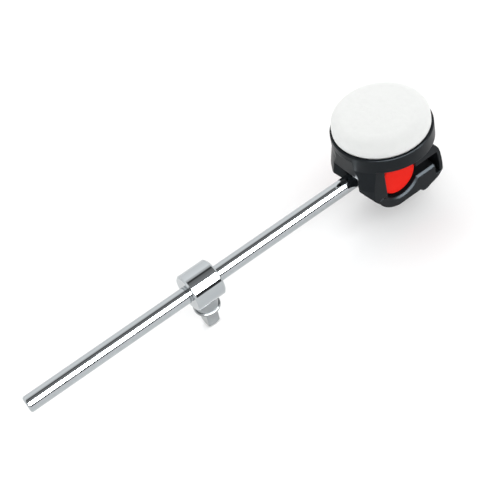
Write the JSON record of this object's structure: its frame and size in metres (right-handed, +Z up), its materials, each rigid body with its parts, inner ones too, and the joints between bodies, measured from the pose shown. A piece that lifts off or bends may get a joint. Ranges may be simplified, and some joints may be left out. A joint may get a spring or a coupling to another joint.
{
  "type": "bass drum beater",
  "caption": "Bass drum beater: round white felt pad in a black latching head on a red cross hub, at the end of a chromed shaft with a sliding memory collar and its key screw.",
  "frame": {"origin": "on the shaft's axis where its full diameter begins, just inside the rounded tip of the free end", "axes": "+X along the shaft from its free end to the head, +Z up out of the felt's striking face, +Y across the head along the hub's barrel"},
  "size_m": [0.2275, 0.0486, 0.06],
  "materials": {
    "chrome": "bright polished chrome plating on steel",
    "black_plastic": "satin black moulded plastic",
    "red_plastic": "smooth red moulded plastic",
    "bush_rubber": "black rubber",
    "pin_steel": "ground steel",
    "felt": "dense white pressed felt",
    "backing": "stiff fibre board"
  },
  "bodies": {
    "beater": {"shaft": "chrome", "hub": "red_plastic", "hub_pin": "pin_steel", "hub_bush": "bush_rubber"},
    "head": {"housing": "black_plastic", "felt_pad": "felt", "felt_backing": "backing", "gate_pin": "pin_steel"},
    "gate": {"latch_gate": "black_plastic"},
    "collar": {"memory_collar": "chrome"},
    "washer": {"screw_washer": "chrome"},
    "screw": {"key_screw": "chrome"}
  },
  "joints": [
    {"name": "head_tilt", "type": "hinge", "parent": "beater", "child": "head", "pos_m": [0.19765, 0, 0], "axis": [0, 1, 0], "range_deg": [-3, 3]},
    {"name": "gate_hinge", "type": "hinge", "parent": "head", "child": "gate", "pos_m": [0.18548, 0, -0.00702], "axis": [0, 1, 0], "range_deg": [0, 60]},
    {"name": "collar_slide", "type": "slide", "parent": "beater", "child": "collar", "axis": [1, 0, 0], "range_m": [-0.08, 0.07]},
    {"name": "screw_lift", "type": "slide", "parent": "collar", "child": "washer", "axis": [0, 0.1132, -0.9936], "range_m": [0, 0.002]},
    {"name": "screw_turn", "type": "hinge", "parent": "washer", "child": "screw", "pos_m": [0.0916, 0, 0], "axis": [0, 0.1132, -0.9936], "range_deg": [0, 720]}
  ],
  "couplings": [
    {"joint": "screw_turn", "follows": "screw_lift", "rad_per_m": 6283}
  ]
}
